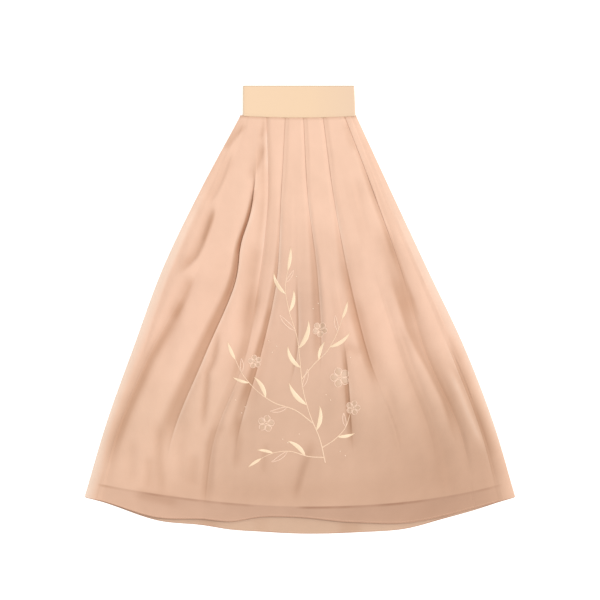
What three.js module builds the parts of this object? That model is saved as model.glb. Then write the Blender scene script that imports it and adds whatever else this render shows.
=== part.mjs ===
// A long pleated skirt of sheer cloth over a lining, lying flat on a table with its front up.
// It is a tube pressed closed: the back lies on the table, the lining lies on the back, and the
// front lies on top. Knife pleats are sewn into the waistband, lapped to the left but for the one
// nearest the wearer's right side, and they open into soft folds that fan out to a curved hem.
// Millimetres. +Z is up from the table, +Y runs to the waist, +X is the wearer's left. The origin
// is on the table, under the middle of the skirt's outline.
import * as THREE from "three";

// Sizes of the whole garment as it lies.
const SKIRT_LENGTH = 1030; // top of the waistband to the lowest point of the back hem
const HEM_WIDTH = 990; // corner to corner
const BAND_HEIGHT = 70;
const BAND_LEFT = -131; // ends of the waistband at its seam
const BAND_RIGHT = 128;
const BAND_SLANT = 3; // how far the band's left end comes in at the top on the right-hand side
const SEAM_SAG = 4; // the waist seam dips this much in the middle

// Thicknesses. Every layer of cloth lies this far from the next, at a seam or one on another.
const WALL = 1.1;
const GAP = 0.3;
const FOLD_RADIUS = 0.8; // middle of the cloth, where a pleat turns back on itself

const WAIST_Y = SKIRT_LENGTH / 2 - BAND_HEIGHT;
const BACK_TOP = WALL;
const LINING_BOTTOM = BACK_TOP + GAP;
const LINING_TOP = LINING_BOTTOM + WALL;
const FRONT_ON_LINING = LINING_TOP + GAP + WALL / 2; // middle of the front's wall at its lowest
const FRONT_ON_BACK = BACK_TOP + GAP + WALL / 2; // the same at the sides and hem, past the lining
const BAND_WALL = 3; // elastic covered with cloth
const BAND_ROUNDING = 0.8; // of the waistband's edges

// The lines that the folds follow down the front, from left to right: how far each is from the
// middle at six levels, evenly spaced from the waist seam to the hem, and how far down the front
// and the back hem hang there, measured from the origin.
const LEVELS = ["waist", "hip", "thigh", "knee", "calf", "hem"];
const HALF_HEM = HEM_WIDTH / 2;
const LINES = [
  { line: "right_seam", waist: -137, hip: -231, thigh: -315, knee: -380, calf: -443, hem: -HALF_HEM, front: 432, back: 432 },
  { line: "side_fold_right", waist: -122, hip: -179, thigh: -237, knee: -333, calf: -412, hem: -460, front: 440, back: 441 },
  { line: "long_fold", waist: -108, hip: -107, thigh: -144, knee: -222, calf: -296, hem: -322, front: 480, back: 486 },
  { line: "pleat_1", waist: -78, hip: -74, thigh: -94, knee: -127, calf: -198, hem: -223, front: 484, back: 496 },
  { line: "pleat_2", waist: -33, hip: -43, thigh: -54, knee: -94, calf: -145, hem: -159, front: 491, back: 506 },
  { line: "middle_fold", waist: -11, hip: -9, thigh: -7, knee: -9, calf: -60, hem: -85, front: 478, back: 511 },
  { line: "pleat_3", waist: 9, hip: 20, thigh: 44, knee: 48, calf: 34, hem: -10, front: 477, back: 515 },
  { line: "short_fold", waist: 30, hip: 48, thigh: 76, knee: 106, calf: 120, hem: 138, front: 493, back: 512 },
  { line: "pleat_4", waist: 54, hip: 79, thigh: 113, knee: 160, calf: 228, hem: 248, front: 493, back: 503 },
  { line: "soft_fold", waist: 78, hip: 120, thigh: 175, knee: 235, calf: 304, hem: 327, front: 478, back: 482 },
  { line: "pleat_5", waist: 104, hip: 172, thigh: 235, knee: 286, calf: 373, hem: 405, front: 457, back: 461 },
  { line: "side_fold_left", waist: 119, hip: 191, thigh: 269, knee: 343, calf: 413, hem: 461, front: 441, back: 442 },
  { line: "left_seam", waist: 129, hip: 210, thigh: 292, knee: 375, calf: 443, hem: HALF_HEM, front: 432, back: 432 },
];

// The crease along each line between the seams. It is there from one share of the height to
// another. Its turn, in degrees at its top and its bottom end, says how the cloth steps up across
// it: 180 is a closed pleat lapped over to the left, 90 an upright step, and a negative turn has
// its high side on the left, so -180 is a pleat lapped over to the right. Flat is the length of
// cloth between the two bends of the step.
const CREASES = [
  { line: "side_fold_right", from: 0.42, to: 0.97, turnTop: -35, turnEnd: -40, flatTop: 4, flatEnd: 5 },
  { line: "long_fold", from: 0.18, to: 0.82, turnTop: 95, turnEnd: 30, flatTop: 4, flatEnd: 4 },
  { line: "pleat_1", from: -1, to: 0.95, turnTop: -180, turnEnd: 30, flatTop: 13, flatEnd: 4 },
  { line: "pleat_2", from: -1, to: 0.86, turnTop: 180, turnEnd: 30, flatTop: 13, flatEnd: 4 },
  { line: "middle_fold", from: 0.46, to: 0.64, turnTop: 20, turnEnd: 20, flatTop: 3, flatEnd: 3 },
  { line: "pleat_3", from: -1, to: 0.6, turnTop: 180, turnEnd: 60, flatTop: 13, flatEnd: 4 },
  { line: "short_fold", from: 0.59, to: 0.78, turnTop: 70, turnEnd: 40, flatTop: 5, flatEnd: 4 },
  { line: "pleat_4", from: -1, to: 0.64, turnTop: 180, turnEnd: 45, flatTop: 13, flatEnd: 4 },
  { line: "soft_fold", from: 0.42, to: 0.84, turnTop: 12, turnEnd: 12, flatTop: 4, flatEnd: 4 },
  { line: "pleat_5", from: -1, to: 0.88, turnTop: 180, turnEnd: -80, flatTop: 7, flatEnd: 5 },
  { line: "side_fold_left", from: 0.6, to: 0.98, turnTop: -45, turnEnd: -50, flatTop: 4, flatEnd: 6 },
];
const CREASE_FADE = 0.07; // share of the height over which a crease comes and goes

// How high each stretch of cloth between two lines stands at its crest, and where across it, as a
// share from its left line. It falls away on both sides like a slack cloth's back.
const PANELS = [
  { panel: "right_side", crest: 0.45, waist: 1, hip: 5, thigh: 7, knee: 8, calf: 8, hem: 5 },
  { panel: "right_front", crest: 0.5, waist: 1.5, hip: 6, thigh: 9, knee: 9, calf: 9, hem: 5 },
  { panel: "beside_long_fold", crest: 0.3, waist: 1.5, hip: 5, thigh: 9, knee: 10, calf: 8, hem: 5 },
  { panel: "pleat_1_top", crest: 0.3, waist: 3.4, hip: 4, thigh: 6, knee: 9, calf: 7, hem: 4 },
  { panel: "pleat_2_top", crest: 0.4, waist: 3.4, hip: 4, thigh: 5, knee: 5, calf: 5, hem: 3 },
  { panel: "middle", crest: 0.5, waist: 2, hip: 3, thigh: 4, knee: 5, calf: 5, hem: 3 },
  { panel: "pleat_3_top", crest: 0.35, waist: 3.4, hip: 4, thigh: 6, knee: 6, calf: 4, hem: 4 },
  { panel: "left_of_short_fold", crest: 0.45, waist: 2, hip: 3, thigh: 6, knee: 9, calf: 7, hem: 4 },
  { panel: "pleat_4_top", crest: 0.4, waist: 3.4, hip: 5, thigh: 8, knee: 8, calf: 7, hem: 4 },
  { panel: "left_front", crest: 0.6, waist: 2, hip: 4, thigh: 7, knee: 10, calf: 8, hem: 4 },
  { panel: "pleat_5_top", crest: 0.55, waist: 3.4, hip: 6, thigh: 7, knee: 9, calf: 9, hem: 5 },
  { panel: "left_side", crest: 0.5, waist: 1, hip: 4, thigh: 6, knee: 7, calf: 7, hem: 4 },
];

// Short furrows that run off the long lines near the sides, from one point on the cloth to
// another, with the width and depth of each.
const FURROWS = [
  { name: "seam_notch", x0: -124, y0: 424, x1: -172, y1: 382, width: 10, depth: 3 },
  { name: "upper_furrow", x0: -152, y0: 354, x1: -216, y1: 238, width: 11, depth: 4 },
  { name: "middle_furrow", x0: -194, y0: 240, x1: -284, y1: 84, width: 12, depth: 6 },
  { name: "forked_furrow", x0: -189, y0: -62, x1: -221, y1: -262, width: 9, depth: 4 },
  { name: "hem_furrow", x0: 30, y0: -300, x1: -8, y1: -436, width: 11, depth: 3 },
  { name: "outer_furrow", x0: 338, y0: -2, x1: 408, y1: -180, width: 10, depth: 4 },
];

// The lining is a plain panel, narrower and shorter than the front. Past its edges the front comes
// down on the back: within this much of the side seams, and in this last share of its height.
const LINING_INSET = 27; // at the hem
const LINING_INSET_AT_WAIST = 7;
const LINING_HEM = { middle: 453, side: 400, curve: 2.4 };
const LANDING_CLEARANCE = 3;
const LANDING_SHARE = 0.024;

// Fineness of the meshes.
const FRONT_ROWS = 19;
const PANEL_STEPS = 4; // spans across a panel between its two creases
const BEND_STEPS = 2; // spans round each bend of a crease
const OUTLINE_STEPS = 24; // points down a side, and along a hem
const SEAM_STEPS = 12; // points along the waist seam

const APRICOT = new THREE.Color(0.91, 0.66, 0.45);
const PEACH = new THREE.Color(0.82, 0.55, 0.4);
const LINING_PEACH = new THREE.Color(0.86, 0.6, 0.45);

const lerp = THREE.MathUtils.lerp;
const shares = (steps) => Array.from({ length: steps + 1 }, (_, i) => i / steps);

// A row's value at a share of the way down, on a smooth curve through its six levels, which runs
// on straight past both ends.
function atLevel(row, share) {
  const spans = LEVELS.length - 1;
  const value = (i) => {
    const at = THREE.MathUtils.clamp(i, 0, spans);
    return at === i ? row[LEVELS[i]] : 2 * row[LEVELS[at]] - row[LEVELS[2 * at - i]];
  };
  const i = Math.min(Math.floor(share * spans), spans - 1);
  const t = share * spans - i;
  const slopeIn = (value(i + 1) - value(i - 1)) / 2;
  const slopeOut = (value(i + 2) - value(i)) / 2;
  const h = t * t * (3 - 2 * t);
  return lerp(value(i), value(i + 1), h) + t * (1 - t) * ((1 - t) * slopeIn - t * slopeOut);
}

// The waist seam, which dips a little in the middle.
function waistSeamY(x) {
  return WAIST_Y - SEAM_SAG * Math.max(0, 1 - (x / BAND_LEFT) ** 2);
}

// Points along the waist seam or just under it, from one x to another.
function alongWaist(from, to, under = 0) {
  return shares(SEAM_STEPS).map((share) => {
    const x = lerp(from, to, share);
    return new THREE.Vector2(x, waistSeamY(x) - under);
  });
}

// Where a line is on the cloth, seen from above.
function onLine(line, share, hem = "front") {
  const top = waistSeamY(line.waist) - GAP;
  return new THREE.Vector2(atLevel(line, share), lerp(top, -line[hem], share));
}

// How far a crease is pressed in at this share of the height, from 0 to 1.
function presence(crease, share) {
  const starts = THREE.MathUtils.smoothstep(share, crease.from - CREASE_FADE, crease.from + CREASE_FADE);
  const ends = THREE.MathUtils.smoothstep(share, crease.to - CREASE_FADE, crease.to + CREASE_FADE);
  return starts * (1 - ends);
}

// A closed pleat stays lapped while it is sewn in, and its lap lets go over the hips.
function openness(crease, share) {
  const start = Math.max(crease.from, 0);
  const t = THREE.MathUtils.clamp((share - start) / (crease.to - start), 0, 1);
  return Math.abs(crease.turnTop) === 180 ? THREE.MathUtils.smoothstep(t, 0.35, 0.85) : t;
}

// The step across a crease at one share of the height, as points [x, z] from its line and its
// floor: a flat lead, a bend, a straight stretch, the bend back, and a flat lead out. A lapped
// step shows its upper edge on the line, and an open one has its middle there.
function stepAcross(crease, share) {
  const pressed = presence(crease, share);
  const open = openness(crease, share);
  const turn = THREE.MathUtils.degToRad(lerp(crease.turnTop, crease.turnEnd, open)) * pressed;
  const flat = lerp(crease.flatTop, crease.flatEnd, Math.min(1, 1.6 * open));
  const side = Math.sign(turn) || 1;
  const path = [[0, 0]];
  let heading = 0;
  const walk = (length) => {
    const [x, z] = path.at(-1);
    path.push([x + length * Math.cos(heading), z + length * Math.sin(heading)]);
  };
  const bend = (angle) => {
    const chord = 2 * FOLD_RADIUS * Math.sin(Math.abs(angle) / 2 / BEND_STEPS) + 1e-3;
    for (let i = 0; i < BEND_STEPS; i++) {
      heading += angle / 2 / BEND_STEPS;
      walk(chord);
      heading += angle / 2 / BEND_STEPS;
    }
  };
  bend(turn);
  walk(flat);
  bend(-turn);
  const [width, rise] = path.at(-1);
  const edge = side > 0 ? Math.min(width, width / 2) : Math.max(0, width / 2);
  const floor = side > 0 ? 0 : -rise;
  const points = path.map(([x, z]) => [x - edge, z + floor]);
  const xs = points.map(([x]) => x);
  const [first, last] = [Math.min(...xs) - 2 * FOLD_RADIUS, Math.max(...xs) + 2 * FOLD_RADIUS];
  return { points: [[first, floor], ...points, [last, rise + floor]], pressed };
}

// How deep the furrows are at a point on the cloth.
function furrowDepth(x, y) {
  let depth = 0;
  for (const f of FURROWS) {
    const along = new THREE.Vector2(f.x1 - f.x0, f.y1 - f.y0);
    const from = new THREE.Vector2(x - f.x0, y - f.y0);
    const share = from.dot(along) / along.lengthSq();
    const off = Math.abs(from.cross(along)) / along.length();
    const ends = Math.sin(Math.PI * THREE.MathUtils.clamp(share, 0, 1)) ** 0.7;
    depth += f.depth * ends * Math.exp(-((off / f.width) ** 2));
  }
  return depth;
}

// How far the lining's side is from the side seam.
function liningInset(share) {
  return Math.min(LINING_INSET, lerp(LINING_INSET_AT_WAIST, LINING_INSET, share / 0.75));
}

// The middle of the front's wall where it lies lowest. It comes down on the back at its two side
// seams and along its hem, where it has passed the lining.
function frontFloor(x, share) {
  const seam = atLevel(x < 0 ? LINES[0] : LINES.at(-1), share);
  const fromSide = (Math.abs(seam) - Math.abs(x)) / (liningInset(share) - LANDING_CLEARANCE);
  const fromHem = (1 - share) / LANDING_SHARE;
  return lerp(FRONT_ON_BACK, FRONT_ON_LINING, Math.min(1, fromSide, fromHem));
}

// One row of points across the front, from the right seam to the left seam.
function frontRow(share) {
  const steps = LINES.slice(1, -1).map((line, i) => {
    const at = onLine(line, share);
    const { points, pressed } = stepAcross(CREASES[i], share);
    const unpressed = (atLevel(PANELS[i], share) + atLevel(PANELS[i + 1], share)) / 2;
    const floor = lerp(unpressed, 0, pressed);
    return points.map(([x, z]) => new THREE.Vector3(at.x + x, at.y, floor + z));
  });
  const landing = liningInset(share) - LANDING_CLEARANCE;
  const seams = [LINES[0], LINES.at(-1)].map((line) => {
    const at = onLine(line, share);
    const inner = at.x - Math.sign(at.x) * landing;
    return [at.x, inner].sort((a, b) => a - b).map((x) => new THREE.Vector3(x, at.y, 0));
  });
  const stops = [seams[0], ...steps, seams[1]];
  const row = [];
  PANELS.forEach((panel, i) => {
    const left = stops[i].at(-1);
    const right = stops[i + 1][0];
    const crest = Math.max(atLevel(panel, share), left.z, right.z);
    if (i === 0) row.push(...stops[0]);
    for (let n = 1; n < PANEL_STEPS; n++) {
      const s = n / PANEL_STEPS;
      const point = left.clone().lerp(right, s);
      const [edge, away] = s < panel.crest ? [left.z, 1 - s / panel.crest] : [right.z, (s - panel.crest) / (1 - panel.crest)];
      point.z = crest - (crest - edge) * away ** 2;
      point.z = Math.max(0, point.z - furrowDepth(point.x, point.y));
      row.push(point);
    }
    row.push(...stops[i + 1]);
  });
  row.forEach((point) => {
    if (share === 0) point.y = waistSeamY(point.x) - GAP;
    point.z += frontFloor(point.x, share);
  });
  return row;
}

// The unit normal of a row at one of its points, in the plane of the row, made longer in a bend so
// that the wall keeps its thickness.
function rowNormal(row, i) {
  const square = (a, b) => new THREE.Vector3(a.z - b.z, 0, b.x - a.x).normalize();
  const before = square(row[Math.max(i - 1, 0)], row[Math.max(i, 1)]);
  const after = square(row[Math.min(i, row.length - 2)], row[Math.min(i + 1, row.length - 1)]);
  const normal = before.clone().add(after).normalize();
  return normal.divideScalar(Math.max(normal.dot(after), 0.75));
}

// A closed wall round a grid of points: both faces, and the strip that joins their edges.
function wallOn(rows, thickness) {
  const [down, across] = [rows.length, rows[0].length];
  const positions = [];
  for (const side of [1, -1]) {
    for (const row of rows) {
      row.forEach((point, i) => {
        const out = rowNormal(row, i).multiplyScalar((side * thickness) / 2);
        positions.push(...point.clone().add(out).toArray());
      });
    }
  }
  const top = (j, i) => j * across + i;
  const under = (j, i) => down * across + top(j, i);
  const faces = [];
  const quad = (a, b, c, d) => faces.push(a, b, c, a, c, d);
  for (let j = 0; j + 1 < down; j++) {
    for (let i = 0; i + 1 < across; i++) {
      quad(top(j, i), top(j + 1, i), top(j + 1, i + 1), top(j, i + 1));
      quad(under(j, i), under(j, i + 1), under(j + 1, i + 1), under(j + 1, i));
    }
    quad(top(j, 0), under(j, 0), under(j + 1, 0), top(j + 1, 0));
    quad(top(j, across - 1), top(j + 1, across - 1), under(j + 1, across - 1), under(j, across - 1));
  }
  for (let i = 0; i + 1 < across; i++) {
    quad(top(0, i), top(0, i + 1), under(0, i + 1), under(0, i));
    quad(top(down - 1, i), under(down - 1, i), under(down - 1, i + 1), top(down - 1, i + 1));
  }
  const geometry = new THREE.BufferGeometry();
  geometry.setAttribute("position", new THREE.Float32BufferAttribute(positions, 3));
  geometry.setIndex(faces);
  geometry.computeVertexNormals();
  return geometry;
}

// A flat panel of cloth cut to an outline, from one height to another.
function cutFlat(outline, bottom, top, rounded = 0) {
  const geometry = new THREE.ExtrudeGeometry(new THREE.Shape(outline), {
    depth: top - bottom - 2 * rounded,
    bevelEnabled: rounded > 0,
    bevelThickness: rounded,
    bevelSize: rounded,
    bevelOffset: -rounded,
    bevelSegments: 2,
  });
  return geometry.translate(0, 0, bottom + rounded);
}

// The outline of the back: down the right seam, along the hem and up the left seam.
function backOutline() {
  const hem = new THREE.SplineCurve(LINES.map((line) => onLine(line, 1, "back")));
  const down = shares(OUTLINE_STEPS).map((share) => onLine(LINES[0], share, "back"));
  const up = shares(OUTLINE_STEPS).map((share) => onLine(LINES.at(-1), 1 - share, "back"));
  const waist = alongWaist(up.at(-1).x, down[0].x, GAP).slice(1, -1);
  return [...down, ...hem.getPoints(2 * OUTLINE_STEPS).slice(1, -1), ...up, ...waist];
}

// The outline of the lining: its sides keep inside the front's, and its hem is one shallow curve.
function liningOutline() {
  const side = (line, step) => {
    const top = onLine(line, 0).y;
    const y = lerp(top, -LINING_HEM.side, step);
    const share = (top - y) / (top + line.front);
    const seam = atLevel(line, share);
    const x = seam - Math.sign(seam) * liningInset(share);
    return new THREE.Vector2(x, step === 0 ? waistSeamY(x) - GAP : y);
  };
  const down = shares(OUTLINE_STEPS).map((step) => side(LINES[0], step));
  const up = shares(OUTLINE_STEPS).map((step) => side(LINES.at(-1), 1 - step));
  const halfHem = HALF_HEM - LINING_INSET;
  const hem = shares(OUTLINE_STEPS).map((share) => {
    const x = lerp(-halfHem, halfHem, share);
    const drop = LINING_HEM.middle - LINING_HEM.side;
    return new THREE.Vector2(x, -LINING_HEM.middle + drop * Math.abs(x / halfHem) ** LINING_HEM.curve);
  });
  const waist = alongWaist(up.at(-1).x, down[0].x, GAP).slice(1, -1);
  return [...down, ...hem.slice(1, -1), ...up, ...waist];
}

// The outline of the waistband, whose lower edge follows the waist seam.
function bandOutline() {
  const top = SKIRT_LENGTH / 2;
  const corners = [new THREE.Vector2(BAND_RIGHT - BAND_SLANT, top), new THREE.Vector2(BAND_LEFT, top)];
  return [...alongWaist(BAND_LEFT, BAND_RIGHT), ...corners];
}

function piece(name, geometry, color, roughness) {
  const mesh = new THREE.Mesh(geometry, new THREE.MeshStandardMaterial({ color, roughness, metalness: 0 }));
  mesh.name = name;
  return mesh;
}

const frontRows = [...shares(FRONT_ROWS).map((step) => step * (1 - LANDING_SHARE)), 1];
const frontBand = [BAND_WALL + GAP, 2 * BAND_WALL + GAP];
const skirt = new THREE.Group();
skirt.add(
  piece("skirt_back", cutFlat(backOutline(), 0, BACK_TOP), PEACH, 0.85),
  piece("lining_front", cutFlat(liningOutline(), LINING_BOTTOM, LINING_TOP), LINING_PEACH, 0.6),
  piece("skirt_front", wallOn(frontRows.map(frontRow), WALL), PEACH, 0.85),
  piece("waistband_back", cutFlat(bandOutline(), 0, BAND_WALL, BAND_ROUNDING), APRICOT, 0.7),
  piece("waistband_front", cutFlat(bandOutline(), ...frontBand, BAND_ROUNDING), APRICOT, 0.7),
);

export default skirt;
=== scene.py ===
import math

import bpy
import numpy as np
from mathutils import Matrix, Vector
from mathutils.bvhtree import BVHTree


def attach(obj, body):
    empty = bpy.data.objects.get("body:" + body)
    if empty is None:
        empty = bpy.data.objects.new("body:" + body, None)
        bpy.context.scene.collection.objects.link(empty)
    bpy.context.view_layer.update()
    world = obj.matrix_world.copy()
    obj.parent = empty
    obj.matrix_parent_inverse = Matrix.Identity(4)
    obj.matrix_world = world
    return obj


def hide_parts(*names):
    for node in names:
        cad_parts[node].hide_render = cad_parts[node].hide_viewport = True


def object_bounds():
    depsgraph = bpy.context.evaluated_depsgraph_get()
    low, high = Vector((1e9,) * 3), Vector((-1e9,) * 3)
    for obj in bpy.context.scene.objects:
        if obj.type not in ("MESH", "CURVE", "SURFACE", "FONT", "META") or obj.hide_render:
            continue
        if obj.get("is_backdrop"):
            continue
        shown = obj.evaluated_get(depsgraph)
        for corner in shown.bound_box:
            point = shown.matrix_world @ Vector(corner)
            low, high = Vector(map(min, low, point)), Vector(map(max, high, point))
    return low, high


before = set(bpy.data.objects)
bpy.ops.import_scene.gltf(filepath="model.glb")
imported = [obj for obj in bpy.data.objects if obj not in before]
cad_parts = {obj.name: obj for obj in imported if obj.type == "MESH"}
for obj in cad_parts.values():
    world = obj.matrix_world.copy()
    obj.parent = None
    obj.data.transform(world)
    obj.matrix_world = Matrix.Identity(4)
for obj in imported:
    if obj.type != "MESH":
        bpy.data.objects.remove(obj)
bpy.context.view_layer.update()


# The back of the skirt
# The rear half of the pleated tube: peach chiffon, cut wider than it lies and gathered into the
# waist seam by pleats. Here it lies face down on the table, pressed flat by the layers on it, and
# only its hem shows, where the front hem arches over it. Sizes are in mm.
MM = 0.001
LENGTH, BAND_HEIGHT = 1030, 70
BAND_FROM, BAND_TO, SEAM_SAG = -131, 128, 4
WAIST_Y = LENGTH / 2 - BAND_HEIGHT
HALF_HEM, HEM_CORNER = 495, 432  # half the hem's width, and how far down its corners hang
LAYER, GAP = 1.1, 0.3  # the room that each layer of cloth has, and the gap to the next
CLOTH = 0.5  # thickness of the chiffon
TUCK = 2.5  # how far the cloth runs up between the two sides of the waistband
CLOTH_SMOOTHING = math.radians(50)  # faces that meet at less than this are shaded as one

# The lines that the folds follow down the skirt: how far each is from the middle at the waist,
# hip, thigh, knee, calf and hem, and how far down the front and the back hem hang there. Right
# and left in a name are the wearer's: left is towards +X.
LINES = {
    # name: (waist, hip, thigh, knee, calf, hem, front, back)
    "right_seam": (-137, -231, -315, -380, -443, -HALF_HEM, HEM_CORNER, HEM_CORNER),
    "side_fold_right": (-122, -179, -237, -333, -412, -460, 440, 441),
    "long_fold": (-108, -107, -144, -222, -296, -322, 480, 486),
    "pleat_1": (-78, -74, -94, -127, -198, -223, 484, 496),
    "pleat_2": (-33, -43, -54, -94, -145, -159, 491, 506),
    "middle_fold": (-11, -9, -7, -9, -60, -85, 478, 511),
    "pleat_3": (9, 19, 40, 48, 34, -10, 477, 515),
    "short_fold": (30, 48, 76, 106, 120, 138, 493, 512),
    "pleat_4": (54, 79, 113, 160, 228, 248, 493, 503),
    "soft_fold": (78, 120, 175, 235, 304, 327, 478, 482),
    "pleat_5": (104, 172, 235, 286, 365, 402, 457, 461),
    "side_fold_left": (119, 191, 269, 343, 413, 461, 441, 442),
    "left_seam": (129, 210, 292, 375, 443, HALF_HEM, HEM_CORNER, HEM_CORNER),
}


def at_level(levels, share):
    """A value at a share of the way down, on a smooth curve through its six levels."""
    v = np.array(levels[:6], float)
    v = np.concatenate([[2 * v[0] - v[1]], v, [2 * v[-1] - v[-2]]])
    i = np.minimum((share * 5).astype(int), 4)
    t = share * 5 - i
    slope_in, slope_out = (v[i + 2] - v[i]) / 2, (v[i + 3] - v[i + 1]) / 2
    h = t * t * (3 - 2 * t)
    return v[i + 1] + (v[i + 2] - v[i + 1]) * h + t * (1 - t) * ((1 - t) * slope_in - t * slope_out)


def smooth(x, low, high):
    """0 up to low and 1 from high on, with a soft step between them."""
    t = np.clip((np.asarray(x, float) - low) / (high - low), 0, 1)
    return t * t * (3 - 2 * t)


def hump(off, width):
    """1 on a line, fading softly on both sides of it over the width."""
    return np.exp(-((off / width) ** 2))


def through(points, x):
    """A smooth curve through points [(x, value), ...], at x."""
    xs, ys = np.array(points, float).T
    slopes = np.gradient(ys, xs)
    i = np.clip(np.searchsorted(xs, x) - 1, 0, len(xs) - 2)
    step = xs[i + 1] - xs[i]
    t = np.clip((x - xs[i]) / step, 0, 1)
    h = t * t * (3 - 2 * t)
    bow = t * (1 - t) * step * ((1 - t) * slopes[i] - t * slopes[i + 1])
    return ys[i] + (ys[i + 1] - ys[i]) * h + bow


def waist_seam_y(x):
    return WAIST_Y - SEAM_SAG * np.maximum(0, 1 - (x / BAND_FROM) ** 2)


def ripple(x, y, size, seed):
    """Slow uneven waves from -1 to 1, the same at each run, with crests about size apart."""
    a = np.sin(x / size * 5.1 + 1.7 * seed + 1.3 * np.sin(y / size * 1.9 + seed))
    b = np.sin(x / size * 3.3 - y / size * 1.4 + 2.9 * seed + np.sin(x / size * 1.1 + 0.7 * seed))
    return (a + b) / 2


def new_piece(name, points, faces, unwrapped=None):
    """A piece from points in metres, selected by itself, with its place on the flat cloth as a UV map."""
    mesh = bpy.data.meshes.new(name)
    mesh.from_pydata(points, [], faces)
    if unwrapped is not None:
        corners = np.array([loop.vertex_index for loop in mesh.loops])
        uv = mesh.uv_layers.new(name="cloth")
        uv.data.foreach_set("uv", np.array(unwrapped, np.float32)[corners].ravel())
    piece = bpy.data.objects.new(name, mesh)
    bpy.context.scene.collection.objects.link(piece)
    bpy.ops.object.select_all(action="DESELECT")
    bpy.context.view_layer.objects.active = piece
    piece.select_set(True)
    return piece


def cloth(name, x, y, z, thickness, **values):
    """A sheet of cloth on a grid of points in mm, rows running down. It is unwrapped in metres,
    carries the given values at its points, and gets its thickness."""
    rows, columns = x.shape
    points = np.stack([x, y, z], -1) * MM
    index = np.arange(rows * columns).reshape(rows, columns)
    quads = np.stack([index[:-1, :-1], index[1:, :-1], index[1:, 1:], index[:-1, 1:]], -1)
    across = np.linalg.norm(np.diff(points, axis=1), axis=2).cumsum(1)
    across = np.concatenate([np.zeros((rows, 1)), across], 1)
    across -= across[:, columns // 2][:, None]
    down = np.linalg.norm(np.diff(points, axis=0), axis=2).cumsum(0)
    down = np.concatenate([np.zeros((1, columns)), down], 0)
    unwrapped = np.stack([across, -down], -1).reshape(-1, 2)
    piece = new_piece(name, points.reshape(-1, 3).tolist(), quads.reshape(-1, 4).tolist(), unwrapped)
    for key, value in values.items():
        layer = piece.data.attributes.new(key, "FLOAT", "POINT")
        layer.data.foreach_set("value", value.astype(np.float32).ravel())
    wall = piece.modifiers.new("wall", "SOLIDIFY")
    wall.thickness, wall.offset = thickness * MM, 0
    bpy.ops.object.modifier_apply(modifier=wall.name)
    bpy.ops.object.shade_smooth_by_angle(angle=CLOTH_SMOOTHING)
    return piece


class Nodes:
    """Adds and links the nodes of one material."""

    def __init__(self, name):
        self.material = bpy.data.materials.new(name)
        self.material.use_nodes = True
        self.tree = self.material.node_tree
        self.shader = self.tree.nodes["Principled BSDF"]

    def add(self, kind, inputs=None, **settings):
        node = self.tree.nodes.new("ShaderNode" + kind)
        for key, value in settings.items():
            setattr(node, key, value)
        for key, value in (inputs or {}).items():
            if isinstance(value, bpy.types.NodeSocket):
                self.tree.links.new(value, node.inputs[key])
            else:
                node.inputs[key].default_value = value
        return node

    def on_cloth(self):
        return self.add("UVMap", uv_map="cloth").outputs["UV"]

    def in_space(self):
        return self.add("TexCoord").outputs["Object"]

    def along(self, axis):
        return self.add("SeparateXYZ", {"Vector": self.in_space()}).outputs[axis]

    def at_points(self, name):
        return self.add("Attribute", attribute_name=name).outputs["Fac"]

    def texture(self, kind, where, scale, inputs=None, **settings):
        inputs = {"Vector": where, "Scale": scale, **(inputs or {})}
        return self.add("Tex" + kind, inputs, **settings).outputs["Fac"]

    def calc(self, operation, *values, clamp=False):
        return self.add("Math", dict(enumerate(values)), operation=operation, use_clamp=clamp).outputs[0]

    def rescale(self, value, low, high, new_low=0.0, new_high=1.0):
        """Moves a value from between low and high to between new_low and new_high."""
        ends = {"From Min": low, "From Max": high, "To Min": new_low, "To Max": new_high}
        return self.add("MapRange", {"Value": value, **ends}).outputs[0]

    def ramp(self, factor, stops):
        node = self.add("ValToRGB", {"Fac": factor})
        elements = node.color_ramp.elements
        while len(elements) < len(stops):
            elements.new(0.5)
        for element, (place, color) in zip(elements, stops):
            element.position, element.color = place, (*color, 1)
        return node.outputs["Color"]

    def mix(self, kind, factor, a, b):
        node = self.add("Mix", data_type="RGBA", blend_type=kind)
        for key, value in ((0, factor), (6, a), (7, b)):
            if isinstance(value, bpy.types.NodeSocket):
                self.tree.links.new(value, node.inputs[key])
            elif key:
                node.inputs[key].default_value = (*value, 1)
            else:
                node.inputs[key].default_value = value
        return node.outputs[2]

    def finish(self, color, height, bump, **settings):
        """Joins the colour and the bump, (strength, depth in mm), to the shader."""
        bumped = self.add("Bump", {"Height": height, "Strength": bump[0], "Distance": bump[1] * MM})
        self.tree.links.new(color, self.shader.inputs["Base Color"])
        self.tree.links.new(bumped.outputs["Normal"], self.shader.inputs["Normal"])
        for key, value in settings.items():
            self.shader.inputs[key.replace("_", " ")].default_value = value
        return self.material


def woven(nodes, pitch, crinkle):
    """Height of a plain weave with a thread every pitch mm, over a fine uneven crinkle."""
    where = nodes.on_cloth()
    wave_scale = 0.314 / (pitch * MM) / 2  # a wave texture's scale for one wave each two threads
    uneven = {"Distortion": 1.5, "Detail Scale": 2.0}
    threads = [nodes.texture("Wave", where, wave_scale, uneven, bands_direction=axis) for axis in "XY"]
    rough = nodes.texture("Noise", where, 1 / (crinkle * MM), {"Detail": 4.0})
    return nodes.calc("MULTIPLY_ADD", nodes.calc("ADD", *threads), 0.35, rough)


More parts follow.
